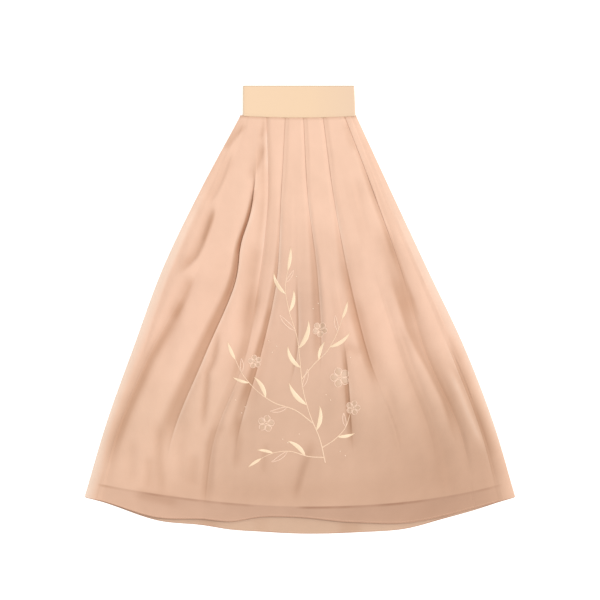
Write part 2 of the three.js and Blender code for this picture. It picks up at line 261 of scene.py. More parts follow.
DEEPEST_FOLD_SHADE = (0.72, 0.55, 0.44)  # painted shade deepest inside a fold, where the fold value is over 1
UNLINED_SHADE_TONE = (0.86, 0.84, 0.84)  # where no lining lies under the sheer cloth, with painted shade deepest just past the lining
LINING_EDGE_SHADE_TONE = (0.78, 0.71, 0.66)  # painted shade just under the lining's turned-up hem edge, seen through the chiffon
CLOUDS = [(0.3, (0.93, 0.92, 0.91)), (0.7, (1.0, 1.0, 1.0))]
HEM_BLUR, UNLINED_SHADE_FADE = 1.2, 50
EDGE_SHADE_SHOWS = (7, 3)  # how far below the lining's hem its line of painted shade fades out, and is full


def chiffon(name, stops, near, deep, highlight_and_rim, lining_hem=None):
    """Sheer crinkled chiffon. Its colour goes by height, is deeper where the piece's close value
    says that it lies against the cloth under it, carries painted shade where its fold value is
    positive, deepest over 1, and painted highlight or a paler sheer rim where it is negative."""
    n = Nodes(name)
    across, up = (n.along(axis) for axis in "XY")
    color = n.ramp(n.rescale(up, -LENGTH / 2 * MM, WAIST_Y * MM), stops)
    color = n.mix("MULTIPLY", n.at_points("close"), color, near)
    # Painted shade where the fold value is positive, deepest over 1, and painted highlight or a paler sheer
    # rim where it is negative.
    fold = n.at_points("fold")
    shaded = n.calc("MULTIPLY", fold, 1.0, clamp=True)
    edge = n.calc("MULTIPLY", fold, -1.0, clamp=True)
    cut = n.calc("SUBTRACT", fold, 1.0, clamp=True)
    color = n.mix("MULTIPLY", shaded, color, deep)
    color = n.mix("MULTIPLY", cut, color, DEEPEST_FOLD_SHADE)
    color = n.mix("MIX", edge, color, highlight_and_rim)
    # Past the lining's hem the sheer cloth is deeper, partly as no lining lies under it and partly as painted
    # shade of the back lying under it, strongest just past the lining's edge, with a line of painted shade
    # just under that edge that comes and goes.
    if lining_hem:
        middle, side, curve_right, curve_left, half = lining_hem
        on_left = n.calc("GREATER_THAN", across, 0.0)
        curve = n.calc("MULTIPLY_ADD", on_left, curve_left - curve_right, curve_right)
        out = n.calc("DIVIDE", n.calc("ABSOLUTE", across), half * MM, clamp=True)
        hem = n.calc("MULTIPLY_ADD", n.calc("POWER", out, curve), (middle - side) * MM, -middle * MM)
        below = n.calc("SUBTRACT", hem, up)
        past = n.rescale(below, -HEM_BLUR * MM, HEM_BLUR * MM)
        past = n.calc("MULTIPLY", past, n.rescale(out, 0.97, 1.0, 1.0, 0.0))
        tone = n.calc("MULTIPLY", past, n.rescale(below, 0.0, UNLINED_SHADE_FADE * MM, 1.0, 0.55))
        tone = n.calc("MULTIPLY", tone, n.rescale(out, 0.75, 1.0, 1.0, 0.25))
        color = n.mix("MULTIPLY", tone, color, UNLINED_SHADE_TONE)
        line = n.rescale(below, EDGE_SHADE_SHOWS[0] * MM, EDGE_SHADE_SHOWS[1] * MM)
        line = n.calc("MULTIPLY", line, past)
        patches = n.add("TexNoise", {"W": across, "Scale": 7.0, "Detail": 2.0}, noise_dimensions="1D")
        comes_and_goes = n.rescale(patches.outputs["Fac"], 0.4, 0.62)
        line = n.calc("MULTIPLY", line, comes_and_goes)
        color = n.mix("MULTIPLY", line, color, LINING_EDGE_SHADE_TONE)
    cloudy = n.texture("Noise", n.on_cloth(), 9.0, {"Detail": 3.0, "Roughness": 0.6})
    color = n.mix("MULTIPLY", 1.0, color, n.ramp(cloudy, CLOUDS))
    return n.finish(color, woven(n, 1.1, 3.5), (0.35, 0.35), Roughness=0.75, Alpha=0.82,
                    Sheen_Weight=0.15, Sheen_Roughness=0.4, Specular_IOR_Level=0.25)


BACK_PLEATS = ("pleat_1", "pleat_2", "pleat_3", "pleat_4", "pleat_5")
BACK_LIES, BACK_WAVES = 0.3, 0.25  # height of the cloth's middle over the table, and of its waves
BACK_TUCK_Z = 0.4  # how much higher it lies inside the waistband
CREASE_WIDTH, HOLLOW_WIDTH = 4, 18
rows, columns = 90, 260
share = np.linspace(0, 1, rows)[:, None]
step = np.linspace(0, 1, columns)[None, :]
right_x, left_x = (at_level(LINES[side], share) for side in ("right_seam", "left_seam"))
x = right_x + (left_x - right_x) * step
back_drops = [(line[5], line[7]) for line in LINES.values()]
y = waist_seam_y(x) - GAP + (-through(back_drops, x[-1:]) - waist_seam_y(x) + GAP) * share
waves = ripple(x, y * 0.1, 90, 2)
z = BACK_LIES + BACK_WAVES * (1 + waves) * smooth(share, 0.02, 0.2)
z += BACK_WAVES * smooth(share, 0.93, 1) * (1 + ripple(x, y, 60, 5))
# Painted shade in the troughs of the slow waves.
fold = 0.25 * smooth(-waves, 0, 1)
for name in BACK_PLEATS:  # pressed creases like those of the front, on the other side of the body, with painted shade along and beside them
    off = x + at_level(LINES[name], share)
    ridge = hump(off, CREASE_WIDTH) * (1 - smooth(share, 0.5, 0.9))
    hollow_shade = 0.2 * hump(off, HOLLOW_WIDTH) * smooth(share, 0.2, 0.5) * (1 - smooth(share, 0.7, 1))
    z += 0.3 * ridge
    fold += 0.5 * ridge + hollow_shade
x, y, z, fold = (
    np.concatenate([a[:1] + b, a]) for a, b in ((x, 0), (y, TUCK), (z, BACK_TUCK_Z), (fold, 0)))
skirt_back = cloth("chiffon_back", x, y, z, CLOTH, fold=fold, close=0 * x)
skirt_back.data.materials.append(chiffon(
    "peach_chiffon_back",
    [(0.0, (0.63, 0.43, 0.31)), (0.06, (0.61, 0.41, 0.295)), (1.0, (0.72, 0.5, 0.36))],
    near=(0.8, 0.75, 0.7), deep=(0.76, 0.6, 0.5), highlight_and_rim=(0.85, 0.66, 0.52)))
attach(skirt_back, "root")
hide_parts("skirt_back")


# The front of the lining
# A plain smooth panel of woven lining, narrower and shorter than the chiffon over it, with its
# hem turned up once. It shows through the sheer front, and its hem shows as a line.
LINING_INSET, LINING_INSET_AT_WAIST, FULL_INSET_FROM = 27, 7, 0.75
LINING_HEM = {"middle": 453, "side": 400, "curve_right": 1.7, "curve_left": 2.4}
LINING_WALL = 0.5
TURN_UP = 14  # height of the turned-up hem
LINING_LIES, LINING_WAVES, LINING_TUCK_Z = 0.35, 0.2, 0.5


def lining_inset(share):
    """How far the lining's edge is from the side seam."""
    low, high = LINING_INSET_AT_WAIST, LINING_INSET
    return np.minimum(high, low + (high - low) * share / FULL_INSET_FROM)


def lining_hem_y(x):
    drop = LINING_HEM["middle"] - LINING_HEM["side"]
    reach = np.minimum(1, np.abs(x) / (HALF_HEM - LINING_INSET))
    curve = np.where(x < 0, LINING_HEM["curve_right"], LINING_HEM["curve_left"])
    return -LINING_HEM["middle"] + drop * reach**curve


rows, columns, rows_at_hem = 100, 130, 8
down = np.concatenate([np.linspace(0, 0.97, rows - rows_at_hem), np.linspace(0.972, 1, rows_at_hem)])[:, None]
step = np.linspace(0, 1, columns)[None, :]
side_y = WAIST_Y - (WAIST_Y + LINING_HEM["side"]) * down
share = (WAIST_Y - side_y) / (WAIST_Y + HEM_CORNER)
right_x = at_level(LINES["right_seam"], share) + lining_inset(share) + 0.5
left_x = at_level(LINES["left_seam"], share) - lining_inset(share) - 0.5
x = right_x + (left_x - right_x) * step
y = waist_seam_y(x) - GAP + (lining_hem_y(x[-1:]) - waist_seam_y(x) + GAP) * down
z = LAYER + GAP + LINING_LIES + LINING_WAVES * (1 + ripple(x, y * 0.15, 120, 9)) * smooth(down, 0.02, 0.2)
x, y, z = (np.concatenate([a[:1] + b, a]) for a, b in ((x, 0), (y, TUCK), (z, LINING_TUCK_Z)))
turned = smooth(-(y - lining_hem_y(x)), -TURN_UP - 1, -TURN_UP + 1)
lining = cloth("lining", x, y, z, LINING_WALL, turned=turned)
n = Nodes("lining_cloth")
height = n.rescale(n.along("Y"), -0.455, WAIST_Y * MM)
color = n.ramp(height, [(0.0, (0.62, 0.41, 0.29)), (0.4, (0.72, 0.49, 0.36)), (1.0, (0.8, 0.57, 0.43))])
color = n.mix("MULTIPLY", n.at_points("turned"), color, (0.93, 0.9, 0.88))
lining.data.materials.append(
    n.finish(color, woven(n, 0.8, 6.0), (0.25, 0.3), Roughness=0.5, Sheen_Weight=0.1))
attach(lining, "root")
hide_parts("lining_front")


# The front of the skirt
# The sheer chiffon that shows: five knife pleats are sewn into the waist seam, and below the hips
# they open into long folds that fan out to the hem. One laps towards +X, the others towards -X, and
# each is a real turn in the cloth. The two side edges turn down to the back at the side seams.
FOLD_RADIUS = 0.32
LANDING_CLEARANCE, LANDING_SHARE = 3, 0.024
FLOOR_ON_LINING = 2 * (LAYER + GAP) + LAYER / 2
FLOOR_ON_BACK = LAYER + GAP + LAYER / 2
CREASE_FADE = 0.07
FLAT_TIPPING = 0.35  # length between the bends of a lap where it tips over
OPENS_FAST = 2.2  # how much sooner than evenly a crease below the waist opens out
STEEPEST = 0.1  # the most that a panel rises, as a share of its width
BEND_STEPS, PANEL_STEPS = 4, 15
LAPPED = 180  # degrees that the cloth turns where it is lapped over

# The crease along each line: the shares of the height where it starts and ends, how far the cloth
# turns there at each end in degrees (180 is lapped over towards -X, -180 towards +X), the length
# of cloth between its two bends, then how deep its shade is and how far that reaches from the
# upper edge, at the waist, hip, thigh, knee, calf and hem.
CREASES = {
    # line: (from, to, turn top, turn end, flat top, flat end, shade levels, reach levels)
    "side_fold_right": (0.42, 0.97, -10, -12, 4, 5, (0, 0, 0.1, 0.15, 0.15, 0.1), (10, 10, 14, 18, 18, 18)),
    "long_fold": (0.18, 0.82, 150, 14, 5, 4, (0.4, 1.0, 1.0, 0.9, 0.6, 0.2), (3, 6, 18, 30, 34, 30)),
    "pleat_1": (-1, 0.95, -180, 14, 4.5, 3, (0.06, 0.12, 0.16, 0.28, 0.3, 0.2), (7, 22, 24, 20, 16, 14)),
    "pleat_2": (-1, 0.8, 180, 20, 4.5, 3, (0.1, 0.15, 0.7, 0.7, 0.4, 0.1), (3, 4, 11, 17, 26, 20)),
    "middle_fold": (0.42, 0.64, 20, 20, 3, 3, (0, 0.1, 0.45, 0.5, 0.1, 0), (4, 4, 5, 5, 6, 6)),
    "pleat_3": (-1, 0.6, 180, 20, 4.5, 3, (0, 0.08, 0.6, 0.5, 0, 0), (3, 5, 17, 20, 10, 10)),
    "short_fold": (0.59, 0.78, 40, 30, 4, 4, (0, 0, 0.1, 0.6, 0.6, 0), (4, 4, 8, 10, 10, 8)),
    "pleat_4": (-1, 0.64, 180, 20, 4.5, 3, (0, 0.1, 0.5, 0.48, 0.2, 0), (3, 6, 20, 18, 16, 10)),
    "soft_fold": (0.42, 0.84, 5, 5, 5, 5, (0, 0, 0.1, 0.1, 0.1, 0), (10, 10, 14, 30, 30, 20)),
    "pleat_5": (-1, 0.88, 180, -18, 6, 4, (0.15, 0.3, 0.1, 0.1, 0.1, 0.1), (5, 12, 12, 12, 12, 12)),
    "side_fold_left": (0.6, 0.95, -26, -20, 4, 6, (0, 0, 0.3, 0.5, 0.42, 0.35), (10, 10, 12, 18, 22, 22)),
}

# How high each panel between two lines stands at its crest, and where across it, as a share.
PANELS = [
    # crest, waist, hip, thigh, knee, calf, hem
    (0.45, 1, 5, 7, 8, 8, 5),
    (0.5, 1.5, 6, 9, 9, 9, 5),
    (0.3, 1.5, 5, 9, 10, 8, 5),
    (0.3, 3.4, 4, 6, 9, 7, 4),
    (0.4, 3.4, 4, 5, 5, 5, 3),
    (0.5, 2, 3, 4, 5, 5, 3),
    (0.35, 3.4, 4, 6, 6, 4, 4),
    (0.45, 2, 3, 6, 9, 7, 4),
    (0.4, 3.4, 5, 8, 8, 7, 4),
    (0.6, 2, 4, 7, 10, 8, 4),
    (0.55, 3.4, 6, 7, 9, 9, 5),
    (0.5, 1, 4, 6, 7, 7, 4),
]

# Smaller creases, placed one by one: the points that each runs through, how wide it is on its two
# sides, its depth, and how deep its shade is, which is negative where it is lighter.
# Their shade is painted shade in the fold value, and painted highlight where it is negative.
FURROWS = [
    # name, points, wide towards -X, wide towards +X, depth, shade
    ("seam_notch", [(-126, 420), (-140, 408), (-154, 392), (-170, 369)], 11, 4, 3, 0.5),
    ("upper_furrow", [(-152, 351), (-159, 332), (-168, 316), (-182, 291), (-198, 263),
        (-212, 240)], 22, 5, 3, 0.25),
    ("side_furrow", [(-198, 228), (-204, 204), (-214, 176), (-225, 146), (-238, 123), (-254, 107),
        (-276, 86)], 17, 5, 5, 0.68),
    ("side_tip", [(-196, 226), (-202, 204), (-211, 180), (-222, 152)], 9, 3, 2, 0.3),
    ("side_band_top", [(-248, 72), (-260, 36), (-274, 4), (-286, -24)], 18, 6, 3, 0.6),
    ("side_band", [(-275, 8), (-297, -40), (-318, -74), (-343, -112), (-361, -158), (-384, -208),
        (-403, -254), (-421, -300), (-437, -346)], 18, 12, 4, 0.74),
    ("pleat_hook", [(-80, 438), (-82, 420), (-86, 404), (-92, 394)], 8, 3, 1.5, 0.3),
    ("pleat_glint", [(-78, 408), (-77, 370), (-76, 320)], 3, 3, 0, -0.5),
    ("waist_hollow", [(-83, 374), (-90, 350), (-101, 325), (-112, 300)], 14, 5, 2, 0.35),
    ("long_cut", [(-104, 273), (-108, 254), (-114, 234), (-121, 212), (-128, 190), (-136, 163),
        (-144, 130)], 5, 4, 2, 0.9),
    ("long_line", [(-138, 150), (-143, 112), (-150, 80), (-160, 48), (-172, 14)], 8, 3, 1, 0.4),
    ("broad_hollow", [(-100, 150), (-108, 95), (-113, 40), (-121, -10), (-132, -45)], 20, 18, 2, 0.45),
    ("thigh_hollow", [(-97, 50), (-99, 22), (-108, -24), (-120, -70), (-127, -98), (-143, -130),
        (-158, -165)], 26, 5, 2, 0.42),
    ("pleat_1_soft", [(-85, 413), (-87, 332), (-84, 263), (-90, 201), (-98, 150)], 10, 6, 1, 0.27),
    ("pleat_2_dark", [(-67, 4), (-76, -24), (-81, -52), (-85, -84)], 6, 6, 1, 0.32),
    ("pleat_2_low", [(-84, -60), (-92, -100), (-104, -140), (-116, -175), (-130, -215)], 22, 20, 1, 0.36),
    ("pleat_4_low", [(104, 102), (113, 68), (124, 22), (132, -1), (149, -70), (162, -116),
        (170, -158)], 9, 10, 1, 0.44),
    ("pleat_4_wide", [(136, 20), (154, -50), (166, -110), (176, -190)], 36, 36, 1, 0.3),
    ("short_line", [(106, -72), (106, -98), (108, -139), (106, -185), (116, -231), (120, -277),
        (122, -312)], 12, 6, 1, 0.45),
    ("pleat_5_hook", [(106, 427), (113, 394), (124, 367)], 8, 6, 1, 0.28),
    ("pleat_5_soft", [(143, 332), (166, 270), (186, 217), (207, 160), (223, 118),
        (240, 75)], 9, 15, 1, 0.22),
    ("hip_shade", [(-160, 130), (-195, 60), (-205, 0), (-222, -60)], 34, 30, 0, 0.15),
    ("low_shade", [(-360, -415), (-230, -420), (0, -425), (160, -410)], 26, 30, 0, 0.16),
    ("fork", [(-189, -60), (-193, -93), (-200, -121), (-212, -144), (-214, -174), (-216, -199), (-220, -236),
        (-223, -266)], 9, 6, 4, 0.6),
    ("hem_wave_1", [(-389, -300), (-389, -397)], 12, 12, 2, 0.12),
    ("hem_wave_2", [(-347, -340), (-350, -411)], 11, 11, 2, 0.3),
    ("hem_wave_3", [(-326, -262), (-322, -358), (-315, -420)], 14, 10, 3, 0.34),
    ("hem_shadow", [(-378, -424), (-330, -432), (-280, -444)], 13, 13, 1, 0.4),
    ("hem_wave_7", [(-244, -335), (-252, -405)], 15, 15, 2, 0.25),
    ("hem_wave_4", [(-180, -270), (-198, -282), (-210, -312), (-210, -369), (-218, -443)], 9, 10, 2, 0.3),
    ("hem_wave_5", [(-140, -250), (-143, -312), (-148, -362)], 9, 9, 2, 0.38),
    ("hem_wave_6", [(-78, -309), (-83, -335), (-85, -376)], 8, 8, 2, 0.22),
    ("slant_wave", [(30, -307), (18, -339), (5, -374), (-12, -430)], 12, 9, 3, 0.4),
    ("knee_wave", [(202, -180), (216, -254), (228, -320)], 14, 12, 2, 0.15),
    ("fold_hook", [(106, -86), (122, -92), (138, -100)], 12, 12, 2, 0.25),
    ("left_ripple_1", [(124, 298), (136, 224), (150, 137)], 14, 14, 2, 0.12),
    ("left_ripple_2", [(120, 160), (128, 110), (138, 60), (150, 10)], 16, 14, 2, 0.1),
    ("knee_tone", [(86, 40), (90, -20), (92, -80)], 18, 14, 1, 0.18),
    ("left_ripple_3", [(200, 150), (210, 90), (226, 30)], 14, 14, 2, 0.12),
    ("left_ripple_4", [(226, -46), (248, -130), (276, -204), (303, -277)], 18, 16, 3, 0.3),
    ("left_ripple_5", [(346, -60), (362, -92), (374, -120)], 6, 6, 2, 0.2),
    ("left_fold_top", [(200, 190), (207, 171), (223, 125), (242, 68), (260, 22),
        (271, -13)], 32, 4, 1, 0.52),
    ("left_fold_low", [(214, 60), (228, 20), (248, -43), (271, -93), (297, -139), (318, -181), (331, -208),
        (345, -254), (352, -285)], 7, 31, 2, 0.7),
    ("left_side_band", [(352, -128), (368, -162), (388, -208), (410, -254), (427, -300),
        (440, -330)], 8, 11, 1, 0.38),
    ("left_ridge", [(346, -145), (368, -190), (385, -236), (404, -277), (423, -320)], 12, 9, -1, -0.42),
    ("left_wave", [(300, -270), (318, -330), (336, -420)], 20, 20, 2, 0.15),
    ("right_ripple_1", [(-288, -59), (-322, -144), (-350, -220)], 14, 14, 2, 0.1),
    ("right_ripple_2", [(-262, -254), (-276, -323), (-271, -392)], 14, 14, 2, 0.12),
]


def step_across(crease, share):
    """The step across a crease, as columns of x from its line and z from its floor: a lead, a bend,
    a straight stretch, the bend back, and a lead out. Also how far it is pressed in, and its turn."""
    start, end, turn_top, turn_end, flat_top, flat_end = crease[:6]
    pressed = smooth(share, start - CREASE_FADE, start + CREASE_FADE)
    pressed = pressed * (1 - smooth(share, end - CREASE_FADE, end + CREASE_FADE))
    opened = np.clip((share - max(start, 0)) / (end - max(start, 0)), 0, 1)
    if abs(turn_top) == LAPPED:  # hardly any height is left where the lap tips over
        opened = smooth(opened, 0.15, 0.6)
        flat = flat_top + (FLAT_TIPPING - flat_top) * np.minimum(1, 7 * opened)
        flat += (flat_end - FLAT_TIPPING) * smooth(opened, 0.6, 1)
    else:
        opened = 1 - (1 - opened) ** OPENS_FAST
        flat = flat_top + (flat_end - flat_top) * np.minimum(1, 2.5 * opened)
    turn = np.radians(turn_top + (turn_end - turn_top) * opened) * pressed
    heading = np.zeros_like(turn)
    xs, zs = [np.zeros_like(turn)], [np.zeros_like(turn)]
    for angle, length in ((turn, None), (None, flat), (-turn, None)):
        for _ in range(1 if angle is None else BEND_STEPS):
            part = 0 if angle is None else angle / 2 / BEND_STEPS
            if angle is not None:
                length = 2 * FOLD_RADIUS * np.sin(np.abs(part)) + 1e-3
            heading = heading + part
            xs.append(xs[-1] + length * np.cos(heading))
            zs.append(zs[-1] + length * np.sin(heading))
            heading = heading + part
    xs, zs = np.concatenate(xs, 1), np.concatenate(zs, 1)
    width, rise = xs[:, -1:], zs[:, -1:]
    over_back = turn >= 0  # towards -X
    edge = np.where(over_back, np.minimum(width, width / 2), np.maximum(0, width / 2))
    floor = np.where(over_back, 0, -rise)
    xs, zs = xs - edge, zs + floor
    lead = 2 * FOLD_RADIUS
    xs = np.concatenate([xs.min(1, keepdims=True) - lead, xs, xs.max(1, keepdims=True) + lead], 1)
    zs = np.concatenate([zs[:, :1], zs, zs[:, -1:]], 1)
    return xs, zs, pressed, turn


def from_path(points, x, y):
    """Distance from a path, more than 0 on the +X side of one that runs down, and how far along it
    as a share, for each point."""
    points = np.array(points, float)
    lengths = np.linalg.norm(np.diff(points, axis=0), axis=1)
    ends = np.concatenate([[0], lengths.cumsum()])
    best, off, along = np.full(x.shape, np.inf), np.zeros(x.shape), np.zeros(x.shape)
    for i, length in enumerate(lengths):
        direction = (points[i + 1] - points[i]) / length
        rx, ry = x - points[i][0], y - points[i][1]
        t = rx * direction[0] + ry * direction[1]
        near = np.clip(t, 0, length)
        distance = np.hypot(rx - near * direction[0], ry - near * direction[1])
        side = np.sign(ry * direction[0] - rx * direction[1])
        closer = distance < best
        best = np.where(closer, distance, best)
        off = np.where(closer, distance * side, off)
        along = np.where(closer, (ends[i] + t) / ends[-1], along)
    return off, along


# Each crease gives a strip of columns across the cloth, which steps down from its upper side.
LEAN, LEAN_AT, LEAN_OVER = 11, 0.32, 0.06  # the long fold leans over a little just below the hip
UPRIGHT, UPRIGHT_OVER = 95, 40  # degrees where a pleat stands up, and how soon it is past that
rows_down, rows_at_hem = 136, 6
landing_starts = 1 - LANDING_SHARE
share = np.concatenate(
    [np.linspace(0, landing_starts, rows_down), np.linspace(landing_starts, 1, rows_at_hem)[1:]])[:, None]
right_seam, left_seam = (at_level(LINES[side], share) for side in ("right_seam", "left_seam"))
stops, shades = [], []
names = list(LINES)
for i, name in enumerate(names[1:-1]):
    line, crease = LINES[name], CREASES[name]
    xs, zs, pressed, turn = step_across(crease, share)
    line_x = at_level(line, share)
    between = (at_level(PANELS[i][1:], share) + at_level(PANELS[i + 1][1:], share)) / 2
    from_landing = [np.abs(seam - line_x) - lining_inset(share) for seam in (right_seam, left_seam)]
    between = np.minimum(between, STEEPEST * np.minimum(*from_landing))
    if name == "long_fold":
        line_x = line_x - LEAN * hump(share - LEAN_AT, LEAN_OVER)
    stops.append((line_x + xs, zs + between * (1 - pressed)))
    upper = np.sign(turn)  # 1 where the cloth on the +X side of the line is the upper side
    turned = np.abs(np.degrees(turn))
    upright = hump(turned - UPRIGHT, UPRIGHT_OVER) * (abs(crease[2]) == LAPPED)
    shades.append((line_x, upper, pressed * np.minimum(1, turned / 15),
                   at_level(crease[6], share), at_level(crease[7], share), upright))
landing = lining_inset(share) - LANDING_CLEARANCE
turn_down = FLOOR_ON_BACK / 2 - 0.28  # radius of the side edges, where they turn down to the back
quarter = np.radians([180, 135, 90, 45])[None, :]
ends = []
for seam, sign in ((right_seam, -1), (left_seam, 1)):
    outer = seam + sign * turn_down * np.sin(quarter)
    lower = turn_down * (np.cos(quarter) - 1) + 0 * share
    xs = np.concatenate([outer, seam, seam - sign * landing], 1)
    zs = np.concatenate([lower, 0 * seam, 0 * seam], 1)
    ends.append((xs, zs) if sign < 0 else (xs[:, ::-1], zs[:, ::-1]))
stops = [ends[0], *stops, ends[1]]

# The panels between them rise to their crests. The owner of a column says where it is, in
# half panels, and give says how much of it the smaller creases may press down.
xs, zs, owner, give = [], [], [], []
for i, (crest_at, *crest_levels) in enumerate(PANELS):
    (x0, z0), (x1, z1) = stops[i], stops[i + 1]
    part = np.linspace(0, 1, x0.shape[1])
    xs.append(x0)
    zs.append(z0)
    owner.extend([(i - 1, k) for k in part])
    give.append(0 * x0)
    s = np.linspace(0, 1, PANEL_STEPS + 1)[None, 1:-1]
    start_z, end_z = z0[:, -1:], z1[:, :1]
    crest = np.minimum(at_level(crest_levels, share), STEEPEST * (x1[:, :1] - x0[:, -1:]))
    crest = np.maximum(np.maximum(crest, start_z), end_z)
    away = np.where(s < crest_at, 1 - s / crest_at, (s - crest_at) / (1 - crest_at))
    edge_z = np.where(s < crest_at, start_z, end_z)
    rise = 1 - away**2
    if i == 0:  # next to a side seam the cloth lies flat first
        rise = np.where(s < crest_at, smooth(1 - away, 0, 1), rise)
    if i == len(PANELS) - 1:
        rise = np.where(s < crest_at, rise, smooth(1 - away, 0, 1))
    xs.append(x0[:, -1:] + (x1[:, :1] - x0[:, -1:]) * s)
    zs.append(edge_z + (crest - edge_z) * rise)
    give.append(0 * crest + smooth(1 - away, 0, 0.5))
    owner.extend([(i - 0.5, 0.5)] * (PANEL_STEPS - 1))
xs.append(stops[-1][0])
zs.append(stops[-1][1])
owner.extend([(len(PANELS) - 1, 1)] * stops[-1][0].shape[1])
give.append(0 * stops[-1][0])
x, z, give = (np.concatenate(parts, 1) for parts in (xs, zs, give))
front_drops = [(line[5], line[6]) for line in LINES.values()]
y = waist_seam_y(x) - GAP
y = y + (-through(front_drops, x[-1:]) - waist_seam_y(x[:1]) + GAP) * share

# The fold value is painted shade on the lower side of each crease, and painted highlight along
# its upper edge and along a pleat that stands up.
EDGE_GLINT, UPRIGHT_GLINT = 0.3, 0.3
fold = np.zeros(x.shape)
for i, (line_x, upper, pressed, shade, reach, upright) in enumerate(shades):
    column = np.array([(k - i) * 2 if k != i else 2 * (part - 0.5) for k, part in owner])[None, :]
    lower_side = column * upper < 0.12
    away = np.abs(x - line_x)
    fold += np.where(lower_side, shade * pressed * (1 - smooth(away / reach, 0.5, 1.2)), 0)
    fold -= np.where(~lower_side, EDGE_GLINT * pressed * shade * hump(away - 2, 5), 0)
    fold -= UPRIGHT_GLINT * upright * hump(away, 3)
inside = np.zeros(x.shape)
for _, points, wide_minus, wide_plus, depth, shade in FURROWS:
    off, along = from_path(points, x, y)
    form = hump(off, np.where(off < 0, wide_minus, wide_plus))
    form = form * smooth(along, -0.12, 0.18) * (1 - smooth(along, 0.78, 1.12))
    fold += shade * form
    inside += depth * form
slack = smooth(share, 0.05, 0.3) * (1 - 0.5 * smooth(share, 0.9, 1))
inside -= slack * (0.7 * ripple(x, y * 0.25, 75, 3) + 0.35 * ripple(x, y * 0.3, 28, 7))
z = z - give * np.minimum(inside, np.maximum(z, 0) * 0.8)
seam_x = np.where(x < 0, right_seam, left_seam)
from_seam = np.abs(seam_x) - np.abs(x)
from_side = np.clip(from_seam / landing, 0, 1)
from_hem = np.clip((1 - share) / LANDING_SHARE, 0, 1)
on_lining = smooth(np.minimum(from_side, from_hem), 0, 1)
z = z + FLOOR_ON_BACK + (FLOOR_ON_LINING - FLOOR_ON_BACK) * on_lining

# The close value is deeper where a panel stands low over the lining. Below the knee it goes by
# place. The fold value then gets painted shade low on the wearer's left, where the light falls
# off, a paler tone at the sheer rims, and painted shade under the waist seam.
lines = np.concatenate([at_level(line, share) for line in LINES.values()], 1)
heights = np.concatenate([at_level(levels[1:], share) for levels in PANELS], 1)
stand = np.array([np.interp(row, (at[1:] + at[:-1]) / 2, up) for row, at, up in zip(x, lines, heights)])
close = 0.8 * (1 - smooth(stand, 3.5, 8.5)) * smooth(share, 0.2, 0.5)
low_tone = 0.1 + 0.5 * smooth(x, -330, -110)
close += (low_tone - close) * smooth(share, 0.55, 0.85)
close = close * smooth(from_seam, 8, 30)
fold += 0.34 * smooth(x, 20, 330) * smooth(-y, 90, 350) * smooth(from_seam, 15, 40)
rim = np.where(x < 0, 1.0, 0.6) * (1 - smooth(from_seam, 6, 24)) * smooth(share, 0.1, 0.4)
rim *= 1 - 0.85 * smooth(x, 300, 400) * smooth(share, 0.8, 0.92)
fold = fold * (1 - rim) - 0.8 * rim
fold += 0.5 * (1 - smooth(waist_seam_y(x) - y, 1, 4.5))
# The row that runs up under the waistband carries painted shade.
x, y, z, fold, close = (
    np.concatenate([a[:1] + b, a]) for a, b in ((x, 0), (y, TUCK), (z, 0), (fold, 0.3), (close, 0)))
BETWEEN_BANDS = 3.15  # height of the gap between the two sides of the waistband
z[0] = z[0] * 0.4 + BETWEEN_BANDS * 0.6
skirt_front = cloth("chiffon_front", x, y, z, CLOTH, fold=fold, close=close)
skirt_front.data.materials.append(chiffon(
    "peach_chiffon_front",
    [(0.0, (0.76, 0.5, 0.365)), (0.15, (0.78, 0.525, 0.39)), (0.3, (0.79, 0.54, 0.405)),
     (0.5, (0.86, 0.585, 0.45)), (1.0, (0.86, 0.59, 0.45))],
    near=(0.76, 0.735, 0.71), deep=(0.7, 0.6, 0.52), highlight_and_rim=(0.92, 0.77, 0.66),
    lining_hem=(*LINING_HEM.values(), HALF_HEM - LINING_INSET)))
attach(skirt_front, "root")
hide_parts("skirt_front")


# The two chiffon hems
# Each edge is rolled twice into a narrow hem, about 3 mm across, and stitched down, which makes
# three layers of cloth there and a thin darker line, partly those layers and partly painted shade
# along the edge.
HEM_ACROSS, HEM_HIGH, HEM_ENDS = 1.8, 1.1, 5
HEM_STITCH_UP = 3.2  # how far above the edge the hems are stitched
STITCH = [(-1, -0.2), (-0.5, 0.85), (0.5, 0.85), (1, -0.2)]  # a stitch's section, (across, up)
THREAD_SMOOTHING = math.radians(60)


def directions(path):
    """The direction of a path at each of its points."""
    tangent = np.gradient(path, axis=0)
    return tangent / np.linalg.norm(tangent, axis=1)[:, None]


def distances(path):
    """How far along a path each of its points is."""
    return np.concatenate([[0], np.linalg.norm(np.diff(path, axis=0), axis=1).cumsum()])


def face_outwards():
    bpy.ops.object.mode_set(mode="EDIT")
    bpy.ops.mesh.select_all(action="SELECT")
    bpy.ops.mesh.normals_make_consistent(inside=False)
    bpy.ops.object.mode_set(mode="OBJECT")


def roll_along(name, path, across, high):
    """A narrow flattened roll along a path of points in mm."""
    tangent = directions(path)
    side = np.stack([-tangent[:, 1], tangent[:, 0], 0 * tangent[:, 0]], 1)
    around = np.radians(np.arange(0, 360, 45))
    rings = path[:, None] + side[:, None] * (np.cos(around) * across / 2)[None, :, None]
    rings[..., 2] += np.sin(around)[None, :] * high / 2
    count, sides = rings.shape[:2]
    faces = []
    for a in range(0, (count - 1) * sides, sides):
        b = a + sides
        faces += [(a + k, a + (k + 1) % sides, b + (k + 1) % sides, b + k) for k in range(sides)]
    faces += [tuple(range(sides))[::-1], tuple((count - 1) * sides + k for k in range(sides))]
    piece = new_piece(name, (rings.reshape(-1, 3) * MM).tolist(), faces)
    face_outwards()
    bpy.ops.object.shade_smooth()
    return piece


